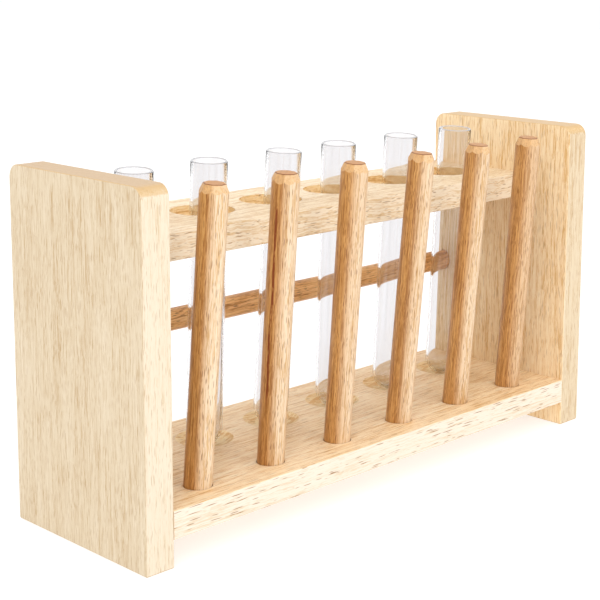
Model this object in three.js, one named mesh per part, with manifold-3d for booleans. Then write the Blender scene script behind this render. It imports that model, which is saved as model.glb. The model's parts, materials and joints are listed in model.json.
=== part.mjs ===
// Wooden test tube rack: two end panels, a dished base shelf, a bored top shelf,
// a rear rail, six drying pegs and six glass test tubes.
// Millimetres, +Z up. X runs along the rack, the pegs stand at the front (-Y),
// and the origin is on the ground under the centre of the rack.
import * as THREE from 'three';
import { mergeVertices } from 'three/addons/utils/BufferGeometryUtils.js';
import Module from 'manifold-3d';

// ---- driving dimensions (mm) ------------------------------------------------
const RACK_LENGTH = 277;        // outside to outside of the end panels
const RACK_DEPTH = 85;
const RACK_HEIGHT = 150;
const PANEL_THICK = 13.5;
const PANEL_CORNER_R = 5.5;     // rounded front and rear top corners

const BASE_BOTTOM = 11.4;       // clearance under the base shelf
const BASE_THICK = 11.6;
const BASE_TOP = BASE_BOTTOM + BASE_THICK;
const TOP_SHELF_TOP = 124.8;
const TOP_SHELF_THICK = 11.6;
const TOP_SHELF_DEPTH = 58.4;   // the shelf is flush with the rear of the panels

const STATIONS = 6;
const PITCH = 40;
const HOLE_Y = 15.0;            // tube line, behind the middle of the rack
const HOLE_R = 14.0;            // through hole in the top shelf
const DISH_R = 12.7;            // shallow turned dish in the base shelf
const DISH_DEPTH = 3.0;

const TUBE_R = 8.0;             // 16 mm outside diameter
const TUBE_WALL = 1.2;
const TUBE_LENGTH = 127;
const TUBE_GAP = 0.3;           // clearance kept between glass and wood
const TUBE_LEAN = 0.0578;       // sideways run per unit of height, a tube resting
                                // against the edge of its hole
// compass direction of each tube's lean, in degrees from +X
const TUBE_LEAN_DIR = [255.6, 256.2, 288.4, 245.4, 263.4, 264.7];

const PEG_R = 5.9;
const PEG_Y = -27.3;            // where a peg's axis meets the top of the base
const PEG_ABOVE = 124.0;        // length above the base, along the peg
const PEG_BELOW = 7.5;          // glued length inside the base
const PEG_CHAMFER_H = 3.6;
const PEG_TOP_R = 4.35;
const PEG_LEAN_DEG = 4.3;       // forward lean that keeps a hung tube clear of the shelf
const PEG_SIDE_DEG = [1.0, 0.15, 0.2, 1.4, 1.0, -0.1]; // small hand-fitted scatter
const PEG_HOLE_R = 6.2;
const PEG_HOLE_DEPTH = 7.8;

const RAIL_R = 5.1;
const RAIL_Y = 36.2;
const RAIL_Z = 72.7;
const RAIL_SOCKET = 8.0;        // blind socket in each panel
const RAIL_FIT = 0.3;

const DOWEL_R = 3.0;
const DOWEL_LENGTH = 24;
const DOWEL_IN_PANEL = 9;
const DOWEL_FIT = 0.3;
const BASE_DOWEL_Y = [-24, 24];
const TOP_DOWEL_Y = [-2, 28];

// ---- derived ----------------------------------------------------------------
const HALF_L = RACK_LENGTH / 2;
const HALF_D = RACK_DEPTH / 2;
const INNER = HALF_L - PANEL_THICK;      // inside face of a panel
const BASE_MID = BASE_BOTTOM + BASE_THICK / 2;
const TOP_BOTTOM = TOP_SHELF_TOP - TOP_SHELF_THICK;
const TOP_MID = TOP_BOTTOM + TOP_SHELF_THICK / 2;
const stationX = Array.from({ length: STATIONS }, (_, i) => (i - (STATIONS - 1) / 2) * PITCH);

// ---- solid helpers ----------------------------------------------------------
const wasm = await Module();
wasm.setup();

function toSolid(geometry) {
  const g = geometry.clone();
  g.deleteAttribute('normal');
  g.deleteAttribute('uv');
  const merged = mergeVertices(g, 1e-4);
  return new wasm.Manifold(new wasm.Mesh({
    numProp: 3,
    vertProperties: Float32Array.from(merged.attributes.position.array),
    triVerts: Uint32Array.from(merged.index.array),
  }));
}

function toGeometry(solid) {
  const mesh = solid.getMesh();
  const g = new THREE.BufferGeometry();
  g.setAttribute('position', new THREE.BufferAttribute(Float32Array.from(mesh.vertProperties), 3));
  g.setIndex(new THREE.BufferAttribute(Uint32Array.from(mesh.triVerts), 1));
  g.computeVertexNormals();
  return g;
}

function cut(geometry, cutters) {
  let solid = toSolid(geometry);
  for (const c of cutters) solid = solid.subtract(toSolid(c));
  return toGeometry(solid);
}

// cylinder along X, from x0 to x1
function rodX(radius, x0, x1, y, z, sides) {
  const g = new THREE.CylinderGeometry(radius, radius, x1 - x0, sides);
  g.rotateZ(-Math.PI / 2);
  g.translate((x0 + x1) / 2, y, z);
  return g;
}

// solid of revolution about +Z from [radius, z] pairs
function turned(profile, sides) {
  const g = new THREE.LatheGeometry(profile.map(([r, z]) => new THREE.Vector2(r, z)), sides);
  g.rotateX(Math.PI / 2);
  return g;
}

// ---- materials --------------------------------------------------------------
const beech = (hex) => new THREE.MeshStandardMaterial({ color: hex, roughness: 0.62, metalness: 0 });
const BOARD = 0xe8cda2;
const ROD = 0xc9965a;
const DOWEL = 0xd8b57c;
const glass = () => new THREE.MeshStandardMaterial({
  color: 0xe9edf2, roughness: 0.05, metalness: 0, transparent: true, opacity: 0.35,
});

const rack = new THREE.Group();
function add(name, geometry, material, parent = rack) {
  const mesh = new THREE.Mesh(geometry, material);
  mesh.name = name;
  parent.add(mesh);
  return mesh;
}

// ---- dowel layout -----------------------------------------------------------
// side -1 is the left end, +1 the right end
function dowelSpan(side, extra) {
  const a = side * (INNER + DOWEL_IN_PANEL + extra);
  const b = side * (INNER + DOWEL_IN_PANEL - DOWEL_LENGTH - extra);
  return [Math.min(a, b), Math.max(a, b)];
}
const joints = [
  ...BASE_DOWEL_Y.map((y) => ({ y, z: BASE_MID })),
  ...TOP_DOWEL_Y.map((y) => ({ y, z: TOP_MID })),
];
const dowelHole = (side, j) => rodX(DOWEL_R + DOWEL_FIT, ...dowelSpan(side, DOWEL_FIT), j.y, j.z, 12);

// ---- end panels -------------------------------------------------------------
function panelOutline() {
  const s = new THREE.Shape();
  const r = PANEL_CORNER_R;
  s.moveTo(-HALF_D, 0);
  s.lineTo(HALF_D, 0);
  s.lineTo(HALF_D, RACK_HEIGHT - r);
  s.absarc(HALF_D - r, RACK_HEIGHT - r, r, 0, Math.PI / 2, false);
  s.lineTo(-HALF_D + r, RACK_HEIGHT);
  s.absarc(-HALF_D + r, RACK_HEIGHT - r, r, Math.PI / 2, Math.PI, false);
  s.closePath();
  return s;
}

function endPanel(side) {
  const g = new THREE.ExtrudeGeometry(panelOutline(), {
    depth: PANEL_THICK, bevelEnabled: false, curveSegments: 6,
  });
  // shape x -> world Y, shape y -> world Z, extrusion -> world X
  g.rotateX(Math.PI / 2);
  g.rotateZ(Math.PI / 2);
  g.translate(side < 0 ? -HALF_L : INNER, 0, 0);
  const cutters = joints.map((j) => dowelHole(side, j));
  const socket = INNER + RAIL_SOCKET;
  cutters.push(side < 0
    ? rodX(RAIL_R + RAIL_FIT, -socket, -INNER + 2, RAIL_Y, RAIL_Z, 24)
    : rodX(RAIL_R + RAIL_FIT, INNER - 2, socket, RAIL_Y, RAIL_Z, 24));
  return cut(g, cutters);
}

add('left_end_panel', endPanel(-1), beech(BOARD));
add('right_end_panel', endPanel(1), beech(BOARD));

// ---- pegs (built about their own axis, foot of the exposed part at z = 0) ----
function pegFrame(i) {
  const group = new THREE.Group();
  group.position.set(stationX[i], PEG_Y, BASE_TOP);
  const up = new THREE.Vector3(
    Math.tan(THREE.MathUtils.degToRad(PEG_SIDE_DEG[i])),
    -Math.tan(THREE.MathUtils.degToRad(PEG_LEAN_DEG)), 1).normalize();
  group.quaternion.setFromUnitVectors(new THREE.Vector3(0, 0, 1), up);
  group.updateMatrixWorld(true);
  return group;
}

// ---- base shelf -------------------------------------------------------------
function baseShelf() {
  const g = new THREE.BoxGeometry(2 * INNER, RACK_DEPTH, BASE_THICK);
  g.translate(0, 0, BASE_MID);
  const cutters = [];
  const ballR = (DISH_R * DISH_R + DISH_DEPTH * DISH_DEPTH) / (2 * DISH_DEPTH);
  const arc = [];
  const top = 1.0;              // the cutter stands a little above the board
  const steps = 4;
  const half = Math.asin(DISH_R / ballR);
  for (let k = 0; k <= steps; k++) {
    const a = (half * k) / steps;
    arc.push([ballR * Math.sin(a), ballR * (1 - Math.cos(a))]);
  }
  arc[0][0] = 0;
  arc.push([DISH_R, DISH_DEPTH + top]);
  arc.push([0, DISH_DEPTH + top]);
  for (let i = 0; i < STATIONS; i++) {
    const dish = turned(arc, 28);
    dish.translate(stationX[i], HOLE_Y, BASE_TOP - DISH_DEPTH);
    cutters.push(dish);
    const hole = turned([
      [0, -PEG_HOLE_DEPTH], [PEG_HOLE_R, -PEG_HOLE_DEPTH], [PEG_HOLE_R, 2], [0, 2],
    ], 20);
    hole.applyMatrix4(pegFrame(i).matrixWorld);
    cutters.push(hole);
  }
  for (const side of [-1, 1]) {
    for (const j of joints.slice(0, 2)) cutters.push(dowelHole(side, j));
  }
  return cut(g, cutters);
}
add('base_shelf', baseShelf(), beech(BOARD));

// ---- top shelf --------------------------------------------------------------
function topShelf() {
  const s = new THREE.Shape();
  s.moveTo(-INNER, HALF_D - TOP_SHELF_DEPTH);
  s.lineTo(INNER, HALF_D - TOP_SHELF_DEPTH);
  s.lineTo(INNER, HALF_D);
  s.lineTo(-INNER, HALF_D);
  s.closePath();
  for (const x of stationX) {
    const h = new THREE.Path();
    h.absarc(x, HOLE_Y, HOLE_R, 0, 2 * Math.PI, true);
    s.holes.push(h);
  }
  const g = new THREE.ExtrudeGeometry(s, {
    depth: TOP_SHELF_THICK, bevelEnabled: false, curveSegments: 16,
  });
  g.translate(0, 0, TOP_BOTTOM);
  const cutters = [];
  for (const side of [-1, 1]) {
    for (const j of joints.slice(2)) cutters.push(dowelHole(side, j));
  }
  return cut(g, cutters);
}
add('top_shelf', topShelf(), beech(BOARD));

// ---- rear rail --------------------------------------------------------------
const railEnd = INNER + RAIL_SOCKET - RAIL_FIT;
add('back_rail', rodX(RAIL_R, -railEnd, railEnd, RAIL_Y, RAIL_Z, 24), beech(ROD));

// ---- hidden joint dowels ----------------------------------------------------
function dowel(side, j) {
  const [x0, x1] = dowelSpan(side, 0);
  const half = (x1 - x0) / 2;
  const g = turned([[0, -half], [DOWEL_R - 0.6, -half], [DOWEL_R, -half + 0.8],
    [DOWEL_R, half - 0.8], [DOWEL_R - 0.6, half], [0, half]], 12);
  g.rotateY(Math.PI / 2);
  g.translate((x0 + x1) / 2, j.y, j.z);
  return g;
}
for (const [side, end] of [[-1, 'left'], [1, 'right']]) {
  joints.forEach((j, k) => {
    const board = k < 2 ? 'base' : 'top';
    const place = k % 2 === 0 ? 'front' : 'rear';
    add(`${board}_dowel_${end}_${place}`, dowel(side, j), beech(DOWEL));
  });
}

// ---- drying pegs ------------------------------------------------------------
for (let i = 0; i < STATIONS; i++) {
  const frame = pegFrame(i);
  rack.add(frame);
  add(`drying_peg_${i + 1}`, turned([
    [0, -PEG_BELOW], [PEG_R, -PEG_BELOW],
    [PEG_R, PEG_ABOVE - PEG_CHAMFER_H], [PEG_TOP_R, PEG_ABOVE], [0, PEG_ABOVE],
  ], 20), beech(ROD), frame);
}

// ---- test tubes (built about their own axis, bottom of the glass at z = 0) ---
function tubeGeometry() {
  const inner = TUBE_R - TUBE_WALL;
  const profile = [];
  const outer = 5;
  for (let k = 0; k <= outer; k++) {
    const a = (Math.PI / 2) * (k / outer);
    profile.push([TUBE_R * Math.sin(a), TUBE_R * (1 - Math.cos(a))]);
  }
  profile[0][0] = 0;
  profile.push([TUBE_R, TUBE_LENGTH]);
  profile.push([inner, TUBE_LENGTH]);
  for (let k = outer; k >= 0; k--) {
    const a = (Math.PI / 2) * (k / outer);
    profile.push([inner * Math.sin(a), TUBE_R - inner * Math.cos(a)]);
  }
  profile[profile.length - 1][0] = 0;
  return turned(profile, 20);
}

for (let i = 0; i < STATIONS; i++) {
  const a = THREE.MathUtils.degToRad(TUBE_LEAN_DIR[i]);
  const up = new THREE.Vector3(TUBE_LEAN * Math.cos(a), TUBE_LEAN * Math.sin(a), 1).normalize();
  const holder = new THREE.Group();
  // the round end sits in the dish: its ball centre stays over the dish centre
  const centre = new THREE.Vector3(
    stationX[i], HOLE_Y, BASE_TOP - DISH_DEPTH + TUBE_GAP + TUBE_R);
  holder.position.copy(centre.addScaledVector(up, -TUBE_R));
  holder.quaternion.setFromUnitVectors(new THREE.Vector3(0, 0, 1), up);
  rack.add(holder);
  add(`test_tube_${i + 1}`, tubeGeometry(), glass(), holder);
}

export default rack;
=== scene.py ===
import bpy, bmesh, json, math, random
from mathutils import Vector, Matrix, Quaternion


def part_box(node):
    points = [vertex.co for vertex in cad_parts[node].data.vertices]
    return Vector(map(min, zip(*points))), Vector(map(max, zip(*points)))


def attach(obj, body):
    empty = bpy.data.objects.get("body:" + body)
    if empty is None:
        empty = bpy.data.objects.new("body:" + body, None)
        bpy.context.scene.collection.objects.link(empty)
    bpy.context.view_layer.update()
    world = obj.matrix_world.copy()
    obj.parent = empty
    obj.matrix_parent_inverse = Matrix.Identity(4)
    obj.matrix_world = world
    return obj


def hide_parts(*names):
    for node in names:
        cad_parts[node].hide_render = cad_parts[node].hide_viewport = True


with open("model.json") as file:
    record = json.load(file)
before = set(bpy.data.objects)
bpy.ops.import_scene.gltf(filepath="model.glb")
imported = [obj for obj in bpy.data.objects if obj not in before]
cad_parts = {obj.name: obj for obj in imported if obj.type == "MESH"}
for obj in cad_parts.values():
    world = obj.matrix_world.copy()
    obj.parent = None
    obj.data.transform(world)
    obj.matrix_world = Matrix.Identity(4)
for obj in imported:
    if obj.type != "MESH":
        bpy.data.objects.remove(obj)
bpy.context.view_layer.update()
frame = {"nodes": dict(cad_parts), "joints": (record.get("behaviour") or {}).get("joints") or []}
NODES = frame["nodes"]
SCENE = bpy.context.scene
MM = 0.001


# ---------------------------------------------------------------- helpers
def link(obj):
    SCENE.collection.objects.link(obj)
    return obj


def verts_of(node):
    return [v.co.copy() for v in NODES[node].data.vertices]


def axis_of(node, up_guess):
    """Top centre and bottom centre of a turned CAD node, and its own axis."""
    pts = verts_of(node)
    u = Vector(up_guess).normalized()
    for _ in range(4):
        d = [p.dot(u) for p in pts]
        hi, lo = max(d), min(d)
        top = [p for p, k in zip(pts, d) if k > hi - 0.0006]
        low = [p for p, k in zip(pts, d) if k < lo + 0.0006]
        top_c = Vector([(min(p[i] for p in top) + max(p[i] for p in top)) / 2 for i in range(3)])
        low_c = Vector([(min(p[i] for p in low) + max(p[i] for p in low)) / 2 for i in range(3)])
        u = (top_c - low_c).normalized()
    return low_c, top_c, u


def up_matrix(origin, u):
    q = Vector((0, 0, 1)).rotation_difference(u)
    return Matrix.Translation(origin) @ q.to_matrix().to_4x4()


def mark_sharp(me, degrees=32):
    bm = bmesh.new()
    bm.from_mesh(me)
    lim = math.radians(degrees)
    for f in bm.faces:
        f.smooth = True
    for e in bm.edges:
        if len(e.link_faces) == 2:
            e.smooth = e.calc_face_angle(0) < lim
    bm.to_mesh(me)
    bm.free()


def lathe(name, profile, sides, closed=False, shape=None):
    """Turned mesh about +Z from (radius, z) pairs in metres. shape(k, angle, r, z) may change (r, z)."""
    bm = bmesh.new()
    rings = []
    for k, (r, z) in enumerate(profile):
        if r < 1e-9:
            rings.append([bm.verts.new((0, 0, z))])
            continue
        ring = []
        for s in range(sides):
            a = 2 * math.pi * s / sides
            rr, zz = shape(k, a, r, z) if shape else (r, z)
            ring.append(bm.verts.new((rr * math.cos(a), rr * math.sin(a), zz)))
        rings.append(ring)
    pairs = list(zip(rings, rings[1:]))
    if closed:
        pairs.append((rings[-1], rings[0]))
    for a, b in pairs:
        for s in range(sides):
            t = (s + 1) % sides
            if len(a) == 1 and len(b) == 1:
                break
            if len(a) == 1:
                bm.faces.new((a[0], b[t], b[s]))
            elif len(b) == 1:
                bm.faces.new((a[s], a[t], b[0]))
            else:
                bm.faces.new((a[s], a[t], b[t], b[s]))
    bmesh.ops.recalc_face_normals(bm, faces=bm.faces)
    me = bpy.data.meshes.new(name)
    bm.to_mesh(me)
    bm.free()
    return bpy.data.objects.new(name, me)


def rounded_slab(name, outline, depth, ease, steps=3):
    """Closed slab: outline is a list of (u, v), extruded along w from 0 to depth, with all
    the edges round the two faces eased. Returns an object with u, v, w on x, y, z."""
    n = len(outline)
    cen = Vector((sum(p[0] for p in outline) / n, sum(p[1] for p in outline) / n))
    pts = [Vector(p) for p in outline]
    nor = []
    for i in range(n):
        a, b, c = pts[i - 1], pts[i], pts[(i + 1) % n]
        e1 = (b - a).normalized()
        e2 = (c - b).normalized()
        n1 = Vector((e1.y, -e1.x))
        n2 = Vector((e2.y, -e2.x))
        m = (n1 + n2).normalized()
        k = 1 / max(m.dot(n1), 0.3)
        nor.append(m * k)
    layers = []
    for s in range(steps + 1):
        t = (math.pi / 2) * s / steps
        layers.append((ease * (1 - math.sin(t)), ease * (1 - math.cos(t))))
    layers = layers + [(inset, depth - w) for inset, w in reversed(layers)]
    bm = bmesh.new()
    rings = []
    for inset, w in layers:
        rings.append([bm.verts.new((p.x - m.x * inset, p.y - m.y * inset, w)) for p, m in zip(pts, nor)])
    for a, b in zip(rings, rings[1:]):
        for s in range(n):
            t = (s + 1) % n
            bm.faces.new((a[s], a[t], b[t], b[s]))
    bm.faces.new(list(reversed(rings[0])))
    bm.faces.new(rings[-1])
    bmesh.ops.recalc_face_normals(bm, faces=bm.faces)
    me = bpy.data.meshes.new(name)
    bm.to_mesh(me)
    bm.free()
    return bpy.data.objects.new(name, me)


def corner_arc(cx, cy, r, a0, a1, steps):
    return [(cx + r * math.cos(math.radians(a0 + (a1 - a0) * k / steps)),
             cy + r * math.sin(math.radians(a0 + (a1 - a0) * k / steps))) for k in range(steps + 1)]


def rounded_rect(x0, x1, y0, y1, r, steps=4):
    return (corner_arc(x1 - r, y0 + r, r, -90, 0, steps) + corner_arc(x1 - r, y1 - r, r, 0, 90, steps)
            + corner_arc(x0 + r, y1 - r, r, 90, 180, steps) + corner_arc(x0 + r, y0 + r, r, 180, 270, steps))


def carve(obj, cutters):
    """Cuts the cutters out of obj and leaves one plain mesh."""
    link(obj)
    for c in cutters:
        link(c)
        m = obj.modifiers.new("cut", "BOOLEAN")
        m.operation = "DIFFERENCE"
        m.solver = "EXACT"
        m.object = c
    bpy.context.view_layer.update()
    dg = bpy.context.evaluated_depsgraph_get()
    me = bpy.data.meshes.new_from_object(obj.evaluated_get(dg))
    old = obj.data
    obj.modifiers.clear()
    obj.data = me
    me.name = obj.name
    bpy.data.meshes.remove(old)
    for c in cutters:
        cm = c.data
        bpy.data.objects.remove(c)
        bpy.data.meshes.remove(cm)
    return obj


def finish_mesh(obj, degrees=32):
    mark_sharp(obj.data, degrees)
    w = obj.modifiers.new("weighted", "WEIGHTED_NORMAL")
    w.keep_sharp = True
    w.weight = 80
    return obj


# ---------------------------------------------------------------- materials
class Nodes:
    def __init__(self, name):
        self.mat = bpy.data.materials.new(name)
        self.mat.use_nodes = True
        self.t = self.mat.node_tree
        self.t.nodes.clear()
        self.out = self.t.nodes.new("ShaderNodeOutputMaterial")

    def new(self, kind, **props):
        n = self.t.nodes.new("ShaderNode" + kind)
        for k, v in props.items():
            setattr(n, k, v)
        return n

    def put(self, socket, value):
        if isinstance(value, bpy.types.NodeSocket):
            self.t.links.new(value, socket)
        elif value is not None:
            socket.default_value = value

    def math(self, op, a, b=None, c=None, clamp=False):
        n = self.new("Math", operation=op, use_clamp=clamp)
        for s, v in zip(n.inputs, (a, b, c)):
            self.put(s, v)
        return n.outputs[0]

    def vec(self, op, a, b=None):
        n = self.new("VectorMath", operation=op)
        self.put(n.inputs[0], a)
        if b is not None:
            self.put(n.inputs[1], b)
        return n.outputs[0]

    def combine(self, x, y, z):
        n = self.new("CombineXYZ")
        for s, v in zip(n.inputs, (x, y, z)):
            self.put(s, v)
        return n.outputs[0]

    def split(self, v):
        n = self.new("SeparateXYZ")
        self.put(n.inputs[0], v)
        return n.outputs

    def noise(self, vector, scale, detail=2.0, rough=0.5, distortion=0.0):
        n = self.new("TexNoise")
        self.put(n.inputs["Vector"], vector)
        n.inputs["Scale"].default_value = scale
        n.inputs["Detail"].default_value = detail
        n.inputs["Roughness"].default_value = rough
        n.inputs["Distortion"].default_value = distortion
        return n.outputs["Fac"], n.outputs["Color"]

    def ramp(self, value, lo, hi, out_lo=0.0, out_hi=1.0, smooth=True):
        n = self.new("MapRange", interpolation_type="SMOOTHSTEP" if smooth else "LINEAR", clamp=True)
        self.put(n.inputs["Value"], value)
        n.inputs["From Min"].default_value = lo
        n.inputs["From Max"].default_value = hi
        n.inputs["To Min"].default_value = out_lo
        n.inputs["To Max"].default_value = out_hi
        return n.outputs["Result"]

    def mix(self, fac, a, b, blend="MIX"):
        n = self.new("Mix", data_type="RGBA", blend_type=blend)
        self.put(n.inputs[0], fac)
        self.put(n.inputs[6], a)
        self.put(n.inputs[7], b)
        return n.outputs[2]


def lin(hexcolor):
    h = hexcolor.lstrip("#")
    out = []
    for k in (0, 2, 4):
        c = int(h[k:k + 2], 16) / 255
        out.append(c / 12.92 if c <= 0.04045 else ((c + 0.055) / 1.055) ** 2.4)
    return (*out, 1.0)


def beech(name, grain, pith, light, mid, dark, fleck, end, seed,
          ring=2.6, ring_amount=0.35, fibre_amount=0.5, fleck_amount=0.7, fleck_cell=(8.0, 1.0, 2.6),
          fleck_keep=0.5, wave=0.35, drift=5.0, cloud=0.4, rough=(0.42, 0.58), bump=0.35, end_amount=1.0,
          painted_light_side=None, coat=0.0, spec=0.4, fineness=1.0, off_face=1.0, pared=None, lip=None, stain=None):
    """Beech cut along one axis. grain is the axis that the fibres follow; pith is where the
    tree's centre lies in the two cross axes, in mm, so the annual rings curve as on a sawn board."""
    m = Nodes(name)
    coord = m.new("TexCoord").outputs
    p = m.split(m.vec("MULTIPLY", coord["Object"], (1000.0, 1000.0, 1000.0)))
    order = {"X": (0, 1, 2), "Y": (1, 2, 0), "Z": (2, 0, 1)}[grain]
    g, a, b = (p[i] for i in order)
    off = (seed * 37.7, seed * 11.3, seed * 23.1)
    P = m.vec("ADD", m.combine(g, a, b), off)

    # slow drift and tight ripple of the fibres
    slow = m.noise(m.vec("MULTIPLY", P, (0.012, 0.05, 0.05)), 1.0, 2.0)[1]
    tight = m.noise(m.vec("MULTIPLY", P, (0.16, 0.12, 0.12)), 1.0, 1.0)[1]
    s = m.split(m.vec("SUBTRACT", slow, (0.5, 0.5, 0.5)))
    t = m.split(m.vec("SUBTRACT", tight, (0.5, 0.5, 0.5)))
    aw = m.math("ADD", m.math("ADD", a, m.math("MULTIPLY", s[0], drift)), m.math("MULTIPLY", t[0], 2.0 * wave))
    bw = m.math("ADD", m.math("ADD", b, m.math("MULTIPLY", s[1], drift)), m.math("MULTIPLY", t[1], 2.0 * wave))

    # annual rings: a soft dark line at the end of each year's growth
    da = m.math("SUBTRACT", aw, pith[0])
    db = m.math("SUBTRACT", bw, pith[1])
    R = m.math("SQRT", m.math("ADD", m.math("MULTIPLY", da, da), m.math("MULTIPLY", db, db)))
    uneven = m.noise(m.combine(m.math("MULTIPLY", R, 0.12), seed * 3.1, 0.0), 1.0, 1.0)[0]
    phase = m.math("ADD", m.math("DIVIDE", R, ring), m.math("MULTIPLY", uneven, 2.4))
    year = m.math("FRACT", phase)
    ringline = m.math("MULTIPLY", m.ramp(year, 0.45, 0.95), m.ramp(year, 1.0, 0.94))

    # fibres: long fine streaks, at three widths
    W = m.combine(m.math("ADD", g, off[0]), m.math("ADD", aw, off[1]), m.math("ADD", bw, off[2]))
    broad = m.noise(m.vec("MULTIPLY", W, (0.018, 0.42, 0.42)), 1.0, 2.0, 0.5)[0]
    wide = m.noise(m.vec("MULTIPLY", W, (0.055, 1.5 * fineness, 1.5 * fineness)), 1.0, 3.0, 0.65)[0]
    fine = m.noise(m.vec("MULTIPLY", W, (0.15, 4.2 * fineness, 4.2 * fineness)), 1.0, 2.0, 0.6)[0]
    cloudy = m.noise(m.vec("MULTIPLY", P, (0.012, 0.045, 0.045)), 1.0, 2.0, 0.5)[0]

    # rays: short thin lens-shaped dashes, gathered in some places and missing in others
    v = m.new("TexVoronoi", voronoi_dimensions="3D", feature="F1", distance="EUCLIDEAN")
    m.put(v.inputs["Vector"], m.vec("DIVIDE", W, fleck_cell))
    v.inputs["Scale"].default_value = 1.0
    v.inputs["Randomness"].default_value = 1.0
    pick = m.split(v.outputs["Color"])
    size = m.ramp(pick[1], 0.0, 1.0, 0.2, 0.42, smooth=False)
    core = m.math("SUBTRACT", 1.0, m.math("DIVIDE", v.outputs["Distance"], size), clamp=True)
    gather = m.noise(m.vec("MULTIPLY", P, (0.05, 0.25, 0.25)), 1.0, 1.0)[0]
    chance = m.math("ADD", pick[0], m.math("MULTIPLY", m.math("SUBTRACT", gather, 0.5), 0.9))
    on = m.ramp(chance, 1.0 - fleck_keep - 0.02, 1.0 - fleck_keep + 0.02)
    n_obj = m.split(coord["Normal"])
    side = None
    # side marks the faces turned along the given axis: painted light makes them paler, and the rays show most on them
    if painted_light_side:
        side = m.ramp(m.math("ABSOLUTE", n_obj[painted_light_side[0]]), painted_light_side[3], painted_light_side[4])
        on = m.math("MULTIPLY", on, m.ramp(side, 0.0, 1.0, off_face, 1.0, smooth=False))
    ray = m.math("MULTIPLY", m.ramp(core, 0.0, 0.5), on)
    v2 = m.new("TexVoronoi", voronoi_dimensions="3D", feature="F1", distance="EUCLIDEAN")
    m.put(v2.inputs["Vector"], m.vec("DIVIDE", W, tuple(c * 0.5 for c in fleck_cell)))
    v2.inputs["Scale"].default_value = 1.0
    core2 = m.math("SUBTRACT", 1.0, m.math("DIVIDE", v2.outputs["Distance"], 0.32), clamp=True)
    pick2 = m.split(v2.outputs["Color"])
    tick = m.math("MULTIPLY", m.ramp(core2, 0.0, 0.5), m.ramp(pick2[2], 0.5, 0.6))
    glint = m.math("MULTIPLY", m.ramp(core2, 0.0, 0.5), m.ramp(pick2[2], 0.28, 0.2))

    # colour
    tone = m.math("ADD", m.math("MULTIPLY", m.ramp(wide, 0.38, 0.66), fibre_amount),
                  m.math("MULTIPLY", m.ramp(fine, 0.35, 0.7), fibre_amount * 0.6))
    tone = m.math("ADD", tone, m.math("MULTIPLY", m.ramp(broad, 0.35, 0.7), fibre_amount * 0.35))
    tone = m.math("ADD", tone, m.math("MULTIPLY", ringline, ring_amount))
    tone = m.math("ADD", tone, m.math("MULTIPLY", m.ramp(cloudy, 0.3, 0.7), cloud), clamp=True)
    if painted_light_side:
        # painted light: faces turned along the given axis, front and back alike, are painted paler, a painted
        # highlight standing in for the front lamps
        _, pale, amount, _, _, pale_deep = painted_light_side
        k = m.math("MULTIPLY", side, amount)
        bright, middle = m.mix(k, light, pale), m.mix(m.math("MULTIPLY", k, 0.95), mid, pale)
        deep = m.mix(k, dark, pale_deep)
    else:
        bright, middle, deep = light, mid, dark
    base = m.mix(m.ramp(tone, 0.0, 0.55), bright, middle)
    base = m.mix(m.ramp(tone, 0.5, 1.0), base, deep)
    base = m.mix(m.math("MULTIPLY", glint, 0.5), base, bright)
    base = m.mix(m.math("MULTIPLY", tick, fleck_amount * 0.55), base, deep)
    base = m.mix(m.math("MULTIPLY", ray, fleck_amount), base, fleck)

    if stain:
        # a reddish mineral stain that runs along the fibres on one side
        colour, amount, centre, width, lo, hi = stain
        wander = m.noise(m.combine(m.math("MULTIPLY", g, 0.09), 3.7, 1.9), 1.0, 2.0)[0]
        apart = m.math("ABSOLUTE", m.math("ADD", m.math("SUBTRACT", b, centre),
                                          m.math("MULTIPLY", m.math("SUBTRACT", wander, 0.5), 2.2)))
        broken = m.noise(m.combine(m.math("MULTIPLY", g, 0.16), m.math("MULTIPLY", b, 0.6), 8.3), 1.0, 3.0, 0.6)[0]
        band = m.math("MULTIPLY", m.ramp(apart, width, width * 0.35), m.ramp(broken, 0.34, 0.5))
        band = m.math("MULTIPLY", band, m.ramp(a, 0.0, -2.0))
        band = m.math("MULTIPLY", band, m.math("MULTIPLY", m.ramp(g, lo, lo + 12.0), m.ramp(g, hi, hi - 6.0)))
        base = m.mix(m.math("MULTIPLY", band, amount), base, colour)

    # end grain, where the face looks along the fibres: pores, ray lines and ring lines
    facing = m.math("ABSOLUTE", n_obj[order[0]])
    e = m.math("MULTIPLY", m.ramp(facing, 0.55, 0.95), end_amount)
    pores = m.noise(m.combine(0.0, m.math("MULTIPLY", a, 2.6), m.math("MULTIPLY", b, 2.6)), 1.0, 2.0, 0.7)[0]
    angle = m.math("ARCTAN2", db, da)
    spokes = m.noise(m.combine(m.math("MULTIPLY", angle, 90.0), m.math("MULTIPLY", R, 0.25), 0.0), 1.0, 2.0, 0.6)[0]
    endtone = m.math("ADD", m.math("MULTIPLY", m.ramp(pores, 0.45, 0.75), 0.45),
                     m.math("ADD", m.math("MULTIPLY", m.ramp(spokes, 0.4, 0.7), 0.3),
                            m.math("MULTIPLY", ringline, 0.35)), clamp=True)
    endcol = m.mix(m.math("MULTIPLY", endtone, 0.75), end, dark)
    base = m.mix(e, base, endcol)
    if pared:
        # faces cut across the fibres at a slant
        colour, amount, lo, hi = pared
        band = m.math("MULTIPLY", m.ramp(facing, lo, lo + 0.15), m.ramp(facing, hi, hi - 0.12))
        band = m.math("MULTIPLY", band, m.ramp(endtone, 0.0, 1.0, amount, amount * 0.5))
        base = m.mix(band, base, colour)
    if lip:
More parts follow.
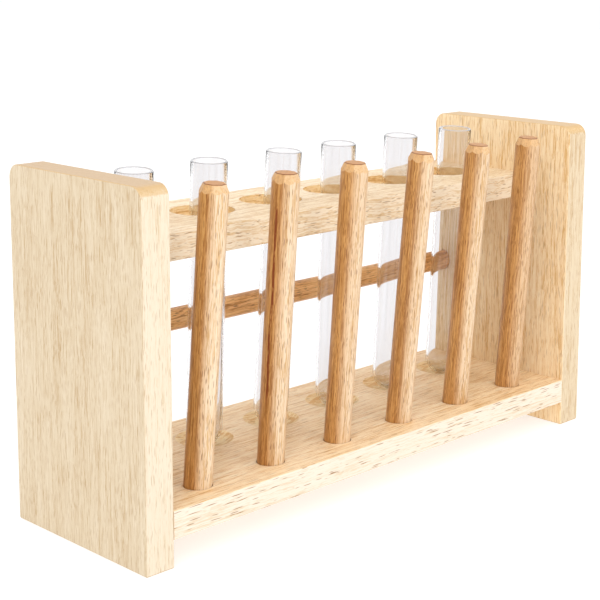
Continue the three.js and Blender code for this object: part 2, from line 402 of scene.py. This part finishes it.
        # a darker band painted round the narrow edge at the top
        band = m.math("MULTIPLY", m.ramp(facing, 0.62, 0.72), m.ramp(facing, 0.9, 0.84))
        base = m.mix(m.math("MULTIPLY", band, lip[1]), base, lip[0])
    height = m.math("SUBTRACT", m.math("ADD", m.math("MULTIPLY", fine, 0.6), m.math("MULTIPLY", wide, 0.4)),
                    m.math("MULTIPLY", ray, 0.45))
    height = m.math("SUBTRACT", height, m.math("MULTIPLY", m.math("MULTIPLY", e, m.ramp(pores, 0.5, 0.7)), 0.5))
    bn = m.new("Bump")
    bn.inputs["Strength"].default_value = bump
    bn.inputs["Distance"].default_value = 0.00012
    m.put(bn.inputs["Height"], height)

    bsdf = m.new("BsdfPrincipled")
    m.put(bsdf.inputs["Base Color"], base)
    m.put(bsdf.inputs["Roughness"], m.ramp(m.math("ADD", m.math("MULTIPLY", fine, 0.6), m.math("MULTIPLY", ray, 0.3)),
                                           0.1, 0.8, rough[0], rough[1], smooth=False))
    bsdf.inputs["Specular IOR Level"].default_value = spec
    bsdf.inputs["Coat Weight"].default_value = coat
    bsdf.inputs["Coat Roughness"].default_value = 0.32
    m.put(bsdf.inputs["Normal"], bn.outputs[0])
    m.t.links.new(bsdf.outputs[0], m.out.inputs["Surface"])
    return m.mat


PALE = dict(light=lin("#E2D2B9"), mid=lin("#D6C3A4"), dark=lin("#BA9A6F"), fleck=lin("#A37B4B"), end=lin("#CDB08C"))
GOLD = dict(light=lin("#FBEACC"), mid=lin("#F4DAB0"), dark=lin("#D9AD6F"), fleck=lin("#A37340"), end=lin("#D2B389"))
WARM = dict(light=lin("#FCEBCD"), mid=lin("#F7DAB0"), dark=lin("#D9A96C"), fleck=lin("#93652F"), end=lin("#D0A36A"))
PEG = dict(light=lin("#DBAA69"), mid=lin("#C48E50"), dark=lin("#9D672E"), fleck=lin("#7A4518"), end=lin("#C68A4B"))
SHELF = dict(light=lin("#F8E9D0"), mid=lin("#EFD8B5"), dark=lin("#D0A873"), fleck=lin("#93652F"), end=lin("#D0A36A"))
RAIL = dict(light=lin("#F8CF98"), mid=lin("#EAB476"), dark=lin("#AE7234"), fleck=lin("#6E3A12"), end=lin("#BC8448"))
CORNER = (lin("#CFA96F"), 0.65, 0.25, 0.97)

# each board's painted_light_side tuple paints its faces along ±Y paler: painted light from the front lamps
panel_l = beech("beech_panel_left", "Z", (-60, 30), seed=1, fleck_amount=0.44, fleck_keep=0.75,
                fineness=1.7, fleck_cell=(7.0, 0.6, 0.6), fibre_amount=0.48, ring_amount=0.06, drift=2.0, cloud=0.15,
                bump=0.3, pared=CORNER, painted_light_side=(1, lin("#E6D8C2"), 0.8, 0.7, 0.98, lin("#D3BB95")), **PALE)
panel_r = beech("beech_panel_right", "Z", (70, -140), seed=2, fleck_amount=0.55, fleck_keep=0.7,
                fineness=1.5, fleck_cell=(8.0, 0.65, 0.65), fibre_amount=0.54, ring_amount=0.08, drift=2.0, cloud=0.2,
                bump=0.3, pared=CORNER, painted_light_side=(1, lin("#D5C3A6"), 0.85, 0.7, 0.98, lin("#C0A27A")), **GOLD)
shelf_b = beech("beech_base_shelf", "X", (10, -70), seed=3, fleck_amount=0.85, fleck_keep=0.66,
                fleck_cell=(12.0, 0.7, 0.7), fibre_amount=0.55, fineness=1.25, ring_amount=0.12, drift=2.5, cloud=0.2,
                painted_light_side=(1, lin("#EADECE"), 0.95, 0.7, 0.98, lin("#DDC9AC")), off_face=0.5, **WARM)
shelf_t = beech("beech_top_shelf", "X", (60, 40), seed=5, fleck_amount=0.65, fleck_keep=0.75,
                fleck_cell=(6.5, 0.7, 0.7), fibre_amount=0.55, fineness=1.2, ring_amount=0.2, wave=0.8, drift=3.0, cloud=0.2,
                painted_light_side=(1, lin("#F3E6D0"), 0.82, 0.7, 0.98, lin("#E3C79C")), off_face=0.5, **SHELF)
# bore and dish faces: the cut wood's own golden tone, made paler still as painted light to lift the shade that tubes
# and pegs throw into the hollows
BORED = dict(light=lin("#FDE2B4"), mid=lin("#F8D49A"), dark=lin("#D9A560"), fleck=lin("#A06C35"), end=lin("#F2CB8E"))
DISHED = dict(light=lin("#FFECC8"), mid=lin("#FDE1AF"), dark=lin("#E5B678"), fleck=lin("#A8743C"), end=lin("#F8D69C"))
bore_b = beech("beech_dish", "X", (10, -70), seed=3, fleck_amount=0.5, rough=(0.6, 0.75), bump=0.6, **DISHED)
bore_t = beech("beech_bore", "X", (60, 40), seed=5, fleck_amount=0.6, rough=(0.6, 0.75), bump=0.6, **BORED)
# how strongly each peg's faces along ±Y are painted paler: a painted highlight from the front lamps
PEG_PAINTED_LIGHT = (0.80, 0.70, 0.62, 0.64, 0.68, 0.4)
peg_mats = [beech(f"beech_peg_{i + 1}", "Z", (random.Random(i).uniform(-30, 30), 25 + 7 * i), seed=10 + i,
                  fleck_amount=0.68, fleck_keep=0.9, fleck_cell=(5.5, 0.56, 0.56), fibre_amount=0.6,
                  fineness=1.35, ring_amount=0.14, ring=2.0, drift=2.0, wave=0.3, cloud=0.2, bump=0.4, coat=0.15, spec=0.4,
                  painted_light_side=(1, lin("#F4E4CA"), PEG_PAINTED_LIGHT[i], 0.42, 1.06, lin("#DDB680")), pared=(lin("#DDB27C"), 0.6, 0.2, 0.72),
                  lip=(lin("#7A4316"), 0.85),
                  stain=(lin("#7E3610"), 0.95, -1.3, 0.8, 30.0, 122.0) if i == 1 else None, **PEG) for i in range(6)]
rail_mat = beech("beech_rail", "X", (40, 30), seed=20, fleck_amount=0.7, fleck_keep=0.8, wave=0.3, drift=2.0,
                 fleck_cell=(5.0, 0.6, 0.6), fibre_amount=0.5, fineness=1.3, ring_amount=0.16, bump=0.4, coat=0.1, **RAIL)
dowel_mat = beech("beech_dowel", "X", (20, 30), seed=22, **WARM)


def glass(name):
    m = Nodes(name)
    b = m.new("BsdfPrincipled")
    b.inputs["Base Color"].default_value = (0.895, 0.889, 0.898, 1.0)
    b.inputs["Roughness"].default_value = 0.0
    b.inputs["IOR"].default_value = 1.25
    b.inputs["Coat Weight"].default_value = 0.6
    b.inputs["Coat Roughness"].default_value = 0.0
    b.inputs["Coat IOR"].default_value = 1.47
    b.inputs["Transmission Weight"].default_value = 1.0
    m.t.links.new(b.outputs[0], m.out.inputs["Surface"])
    v = m.new("VolumeAbsorption")
    v.inputs["Color"].default_value = (0.74, 0.73, 0.80, 1.0)
    v.inputs["Density"].default_value = 10.0
    m.t.links.new(v.outputs[0], m.out.inputs["Volume"])
    return m.mat


glass_mat = glass("clear_glass")


def rim(name):
    """Fire-polished lip: mostly opaque grey glass, a painted highlight that reads as a thin pale grey ring in place of
    the light a real rim gathers.
    """
    m = Nodes(name)
    b = m.new("BsdfPrincipled")
    b.inputs["Base Color"].default_value = (0.47, 0.47, 0.50, 1.0)
    b.inputs["Roughness"].default_value = 0.12
    b.inputs["IOR"].default_value = 1.47
    b.inputs["Transmission Weight"].default_value = 0.25
    b.inputs["Coat Weight"].default_value = 1.0
    b.inputs["Coat Roughness"].default_value = 0.02
    m.t.links.new(b.outputs[0], m.out.inputs["Surface"])
    return m.mat


lip_painted_highlight_mat = rim("glass_lip_painted_highlight")


def dress(obj, body, slot, node, *mats):
    obj.data.materials.clear()
    for mat in mats:
        obj.data.materials.append(mat)
    if obj.name not in SCENE.collection.objects:
        link(obj)
    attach(obj, body)
    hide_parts(node)
    return obj


# ---------------------------------------------------------------- dimensions from the frame
lo_l, hi_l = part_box("left_end_panel")
lo_r, hi_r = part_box("right_end_panel")
lo_b, hi_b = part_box("base_shelf")
lo_t, hi_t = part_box("top_shelf")
lo_rail, hi_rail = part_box("back_rail")
rail_c = (lo_rail + hi_rail) / 2
rail_r = (hi_rail.z - lo_rail.z) / 2
STATION = [(-2.5 + i) * 40 * MM for i in range(6)]
HOLE_Y = 15 * MM
HOLE_R = 14 * MM
DISH_R = 12.7 * MM
DISH_DEPTH = 3 * MM
DOWELS = ("base_dowel_left_front", "base_dowel_left_rear", "top_dowel_left_front", "top_dowel_left_rear",
          "base_dowel_right_front", "base_dowel_right_rear", "top_dowel_right_front", "top_dowel_right_rear")


def rod_cutter(r, x0, x1, y, z, sides=40):
    h = (x1 - x0) / 2
    o = lathe("cutter", [(0, -h), (r, -h), (r, h), (0, h)], sides)
    o.data.transform(Matrix.Translation(((x0 + x1) / 2, y, z)) @ Matrix.Rotation(math.pi / 2, 4, "Y"))
    return o


def dowel_cutters(side_lo, side_hi):
    """Blind dowel holes of the boards whose box spans side_lo to side_hi."""
    out = []
    for d in DOWELS:
        a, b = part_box(d)
        c = (a + b) / 2
        if b.x > side_lo.x and a.x < side_hi.x and side_lo.z < c.z < side_hi.z and side_lo.y < c.y < side_hi.y:
            out.append(rod_cutter(0.00315, a.x - 0.0003, b.x + 0.0003, c.y, c.z, 24))
    return out


# ---------------------------------------------------------------- end panels
def end_panel(name, lo, hi, mat, bore_mat):
    r = 5.5 * MM
    small = 0.7 * MM
    outline = (corner_arc(lo.y + small, lo.z + small, small, 180, 270, 3)
               + corner_arc(hi.y - small, lo.z + small, small, 270, 360, 3)
               + corner_arc(hi.y - r, hi.z - r, r, 0, 90, 12)
               + corner_arc(lo.y + r, hi.z - r, r, 90, 180, 12))
    o = rounded_slab(name, outline, hi.x - lo.x, 0.45 * MM, 3)
    # slab u, v, w -> world Y, Z, X
    o.data.transform(Matrix(((0, 0, 1, lo.x), (1, 0, 0, 0), (0, 1, 0, 0), (0, 0, 0, 1))))
    inner = hi.x if lo.x < 0 else lo.x
    s = 1 if lo.x < 0 else -1
    depth = 8 * MM
    x0, x1 = sorted((inner - s * depth, inner + s * 3 * MM))
    cutters = [rod_cutter(rail_r + 0.12 * MM, x0, x1, rail_c.y, rail_c.z, 64)] + dowel_cutters(lo, hi)
    carve(o, cutters)
    finish_mesh(o)
    return dress(o, "rack", "panel_beech", name.replace("_board", ""), mat)


end_panel("left_end_panel_board", lo_l, hi_l, panel_l, None)
end_panel("right_end_panel_board", lo_r, hi_r, panel_r, None)


# ---------------------------------------------------------------- shelves
def board_mesh(name, lo, hi, ease=0.4 * MM):
    outline = rounded_rect(lo.y, hi.y, lo.z, hi.z, ease, 4)
    o = rounded_slab(name, outline, hi.x - lo.x, 0.02 * MM, 1)
    o.data.transform(Matrix(((0, 0, 1, lo.x), (1, 0, 0, 0), (0, 1, 0, 0), (0, 0, 0, 1))))
    return o


def paint_bores(obj, test):
    for p in obj.data.polygons:
        p.material_index = 1 if test(p.center, p.normal) else 0


peg_frames = []
for i in range(6):
    low, top, u = axis_of(f"drying_peg_{i + 1}", (0, -0.07, 1))
    peg_frames.append((low, top, u))

base = board_mesh("base_shelf_board", lo_b, hi_b)
ball = (DISH_R ** 2 + DISH_DEPTH ** 2) / (2 * DISH_DEPTH)
cutters = []
for i, x in enumerate(STATION):
    half = math.asin(DISH_R / ball)
    prof = [(0 if k == 0 else ball * math.sin(half * k / 12), ball * (1 - math.cos(half * k / 12))) for k in range(13)]
    # small eased lip where the dish meets the board's face
    prof += [(DISH_R + 0.18 * MM, DISH_DEPTH + 0.10 * MM), (DISH_R + 0.5 * MM, DISH_DEPTH + 1 * MM), (0, DISH_DEPTH + 1 * MM)]
    prof = [(r, z - 0.1 * MM) for r, z in prof]
    d = lathe("cutter", prof, 96)
    d.data.transform(Matrix.Translation((x, HOLE_Y, hi_b.z - DISH_DEPTH)))
    cutters.append(d)
    low, top, u = peg_frames[i]
    c = lathe("cutter", [(0, -0.2 * MM), (6.12 * MM, -0.2 * MM), (6.12 * MM, 14 * MM), (0, 14 * MM)], 64)
    c.data.transform(up_matrix(low, u))
    cutters.append(c)
carve(base, cutters + dowel_cutters(lo_b, hi_b))
finish_mesh(base)
dress(base, "rack", "shelf_beech", "base_shelf", shelf_b, bore_b)
paint_bores(base, lambda c, n: c.z < hi_b.z - 0.02 * MM and c.z > lo_b.z + 3 * MM
            and any((c.x - x) ** 2 + (c.y - HOLE_Y) ** 2 < (DISH_R + 0.3 * MM) ** 2 for x in STATION)
            and abs(c.y - lo_b.y) > 2 * MM)

shelf = board_mesh("top_shelf_board", lo_t, hi_t)
cutters = []
th = hi_t.z - lo_t.z
for x in STATION:
    e = 0.35 * MM
    prof = [(0, -1 * MM), (HOLE_R + e + 0.6 * MM, -1 * MM), (HOLE_R + e, 0)]
    prof += [(HOLE_R + e * (1 - math.sin(math.pi / 2 * k / 4)), e * (1 - math.cos(math.pi / 2 * k / 4))) for k in range(1, 5)]
    up = [(r, th - z) for r, z in reversed(prof)]
    d = lathe("cutter", prof + up, 96)
    d.data.transform(Matrix.Translation((x, HOLE_Y, lo_t.z)))
    cutters.append(d)
carve(shelf, cutters + dowel_cutters(lo_t, hi_t))
finish_mesh(shelf)
dress(shelf, "rack", "shelf_beech", "top_shelf", shelf_t, bore_t)
paint_bores(shelf, lambda c, n: abs(n.z) < 0.5 and any(
    (c.x - x) ** 2 + (c.y - HOLE_Y) ** 2 < (HOLE_R + 0.3 * MM) ** 2 for x in STATION))


# ---------------------------------------------------------------- rail
half = (hi_rail.x - lo_rail.x) / 2
ch = 0.5 * MM
prof = [(0, -half), (rail_r - ch, -half), (rail_r, -half + ch)]
prof += [(rail_r, -half + ch + (2 * half - 2 * ch) * k / 40) for k in range(1, 40)]
prof += [(rail_r, half - ch), (rail_r - ch, half), (0, half)]
rng = random.Random(4)
wob = [rng.uniform(0, 6.28) for _ in range(6)]


def uneven(k, a, r, z):
    if r < rail_r - 1e-6:
        return r, z
    w = 0.00004 * math.sin(2 * a + wob[0] + z * 60) + 0.00003 * math.sin(3 * a + wob[1] - z * 90)
    return r - 0.00007 + w, z


rail = lathe("back_rail_rod", prof, 64, shape=uneven)
rail.data.transform(Matrix.Translation(rail_c) @ Matrix.Rotation(math.pi / 2, 4, "Y"))
mark_sharp(rail.data)
dress(rail, "rack", "rail_beech", "back_rail", rail_mat)


# ---------------------------------------------------------------- pegs
def peg(i):
    low, top, u = peg_frames[i]
    length = (top - low).length
    r = 5.9 * MM
    r_top = 4.35 * MM
    cham = 3.6 * MM
    rng = random.Random(40 + i)
    sides = 72
    facets = rng.choice((7, 8, 9))
    turn = rng.uniform(0, 6.28)
    w0, w1, w2 = (rng.uniform(0, 6.28) for _ in range(3))
    foot = 0.6 * MM
    n = 48
    prof = [(0, 0), (r - foot, 0), (r, foot)]
    prof += [(r, foot + (length - cham - foot) * k / n) for k in range(1, n)]
    k_start = len(prof)
    prof += [(r, length - cham), (r_top + 0.12 * MM, length - 0.28 * MM), (r_top - 0.22 * MM, length), (0, length)]
    slope = (r - r_top) / cham
    seg = 2 * math.pi / facets
    deep = [rng.uniform(-0.22, 0.3) * MM for _ in range(facets)]

    def shape(k, a, rr, z):
        if k < 2:
            return rr, z
        # a hand-sanded dowel is never quite round or straight
        w = 0.05 * MM * math.sin(2 * a + w0 + z * 45) + 0.035 * MM * math.sin(3 * a + w1 - z * 70)
        own = min(r - 0.06 * MM + w, r)
        if k < k_start:
            return own if rr == r else rr, z
        # pared chamfer: flat cuts, each a little deeper or shallower than the next
        best = None
        for j in range(facets):
            d = math.cos(a + turn - j * seg)
            if d > 0.3:
                reach = (r_top - 0.12 * MM - deep[j] * 0.35) / d
                if best is None or reach < best[0]:
                    best = (reach, d, deep[j])
        _, d, dj = best
        flat_at_top = r_top - 0.12 * MM - dj * 0.35
        if k == k_start:
            return own, length - (own * d - flat_at_top) / slope
        out = (flat_at_top + (length - z) * slope) / d
        return (out if k == k_start + 1 else out - 0.2 * MM), z

    o = lathe(f"drying_peg_{i + 1}_rod", prof, sides, shape=shape)
    mark_sharp(o.data, 13)
    o.matrix_world = up_matrix(low, u)
    return dress(o, "rack", "peg_beech", f"drying_peg_{i + 1}", peg_mats[i])


for i in range(6):
    peg(i)


# ---------------------------------------------------------------- tubes
def tube(i):
    n = f"test_tube_{i + 1}"
    joint = next(j for j in frame["joints"] if j["child"] == f"tube_{i + 1}")
    u = Vector(joint["axis"]).normalized()
    pts = verts_of(n)
    far = max(p.dot(u) for p in pts)
    rim = [p for p in pts if p.dot(u) > far - 0.0004]
    c = sum(rim, Vector()) / len(rim)
    L = far - min(p.dot(u) for p in pts)
    c = c + u * (far - c.dot(u))
    R, wall = 8.0 * MM, 1.2 * MM
    ri = R - wall
    rr = wall / 2
    prof = [(0, 0)]
    for k in range(1, 25):
        t = math.pi / 2 * k / 24
        prof.append((R * math.sin(t), R * (1 - math.cos(t))))
    for k in range(1, 12):
        prof.append((R, R + (L - rr - R) * k / 12))
    for k in range(0, 9):          # fire-polished rim
        t = math.pi * k / 8
        prof.append((R - rr + rr * math.cos(t), L - rr + rr * math.sin(t)))
    for k in range(11, 0, -1):
        prof.append((ri, R + (L - rr - R) * k / 12))
    for k in range(24, 0, -1):
        t = math.pi / 2 * k / 24
        prof.append((ri * math.sin(t), R - ri * math.cos(t)))
    prof.append((0, wall))
    o = lathe(n + "_glass", prof, 144)
    for p in o.data.polygons:
        p.use_smooth = True
    o.matrix_world = up_matrix(c - u * L, u)
    o.visible_shadow = False       # thin clear glass throws almost no shadow
    dress(o, f"tube_{i + 1}", "tube_glass", n, glass_mat, lip_painted_highlight_mat)
    # rim faces take the lip material, whose grey is a painted highlight
    for p in o.data.polygons:
        p.material_index = 1 if p.center.z > L - rr * 0.5 else 0
    return o


for i in range(6):
    tube(i)


# ---------------------------------------------------------------- hidden dowels keep their CAD shape
for d in DOWELS:
    o = NODES[d]
    o.data.materials.clear()
    o.data.materials.append(dowel_mat)


# ---------------------------------------------------------------- stage
floor_me = bpy.data.meshes.new("floor")
s = 3.0
floor_me.from_pydata([(-s, -s, 0), (s, -s, 0), (s, s, 0), (-s, s, 0)], [], [(0, 1, 2, 3)])
floor = link(bpy.data.objects.new("floor", floor_me))
floor.location.z = -0.00005
fm = Nodes("floor_white")
fb = fm.new("BsdfPrincipled")
fb.inputs["Base Color"].default_value = (0.46, 0.46, 0.46, 1)
fb.inputs["Roughness"].default_value = 0.9
fb.inputs["Specular IOR Level"].default_value = 0.1
fb.inputs["Emission Color"].default_value = (1, 1, 1, 1)
fb.inputs["Emission Strength"].default_value = 0.62
fm.t.links.new(fb.outputs[0], fm.out.inputs["Surface"])
floor_me.materials.append(fm.mat)

world = bpy.data.worlds.new("studio")
SCENE.world = world
world.use_nodes = True
wt = world.node_tree
wt.nodes.clear()
wo = wt.nodes.new("ShaderNodeOutputWorld")
bg = wt.nodes.new("ShaderNodeBackground")
tc = wt.nodes.new("ShaderNodeTexCoord")
sx = wt.nodes.new("ShaderNodeSeparateXYZ")
bg.inputs["Color"].default_value = (1, 1, 1, 1)
mr = wt.nodes.new("ShaderNodeMapRange")
mr.interpolation_type = "SMOOTHSTEP"
mr.inputs["From Min"].default_value = 0.15
mr.inputs["From Max"].default_value = 0.85
mr.inputs["To Min"].default_value = 1.02
mr.inputs["To Max"].default_value = 1.12
wt.links.new(tc.outputs["Generated"], sx.inputs[0])
wt.links.new(sx.outputs["Z"], mr.inputs["Value"])
wt.links.new(mr.outputs["Result"], bg.inputs["Strength"])
wt.links.new(bg.outputs[0], wo.inputs["Surface"])


def area(name, loc, target, size, power, colour=(1, 1, 1)):
    d = bpy.data.lights.new(name, "AREA")
    d.shape = "RECTANGLE"
    d.size, d.size_y = size
    d.energy = power
    d.color = colour
    o = link(bpy.data.objects.new(name, d))
    o.location = loc
    o.rotation_euler = (Vector(target) - Vector(loc)).to_track_quat("-Z", "Y").to_euler()
    return o


area("key", (0.25, -1.25, 0.75), (0, 0, 0.08), (0.7, 0.7), 3, (1.0, 0.99, 0.97))
area("fill", (-0.9, -0.75, 1.0), (0.05, 0, 0.08), (0.9, 0.9), 5)

# ---------------------------------------------------------------- camera
AZ, EL, ROLL = -44.3815, 9.6788, 0.071
DIST, FOCAL_PX, SHIFT = 0.6576, 1490.7507, 0.17
TARGET = Vector((-0.01615, 0.0, 0.126501))
a, e, r = (math.radians(k) for k in (AZ, EL, ROLL))
fwd = Vector((-math.sin(a) * math.cos(e), math.cos(a) * math.cos(e), -math.sin(e)))
right = fwd.cross(Vector((0, 0, 1))).normalized()
up = right.cross(fwd)
right, up = (math.cos(r) * right + math.sin(r) * up), (-math.sin(r) * right + math.cos(r) * up)
cam_d = bpy.data.cameras.new("camera")
cam = link(bpy.data.objects.new("camera", cam_d))
cam_d.sensor_width = 36.0
cam_d.lens = FOCAL_PX / 600 * 36.0
cam_d.shift_y = -SHIFT
cam_d.clip_start, cam_d.clip_end = 0.02, 50
rot = Matrix((right, up, -fwd)).transposed()
cam.matrix_world = Matrix.Translation(TARGET - fwd * DIST) @ rot.to_4x4()
SCENE.camera = cam

SCENE.view_settings.view_transform = "Standard"
SCENE.view_settings.look = "None"
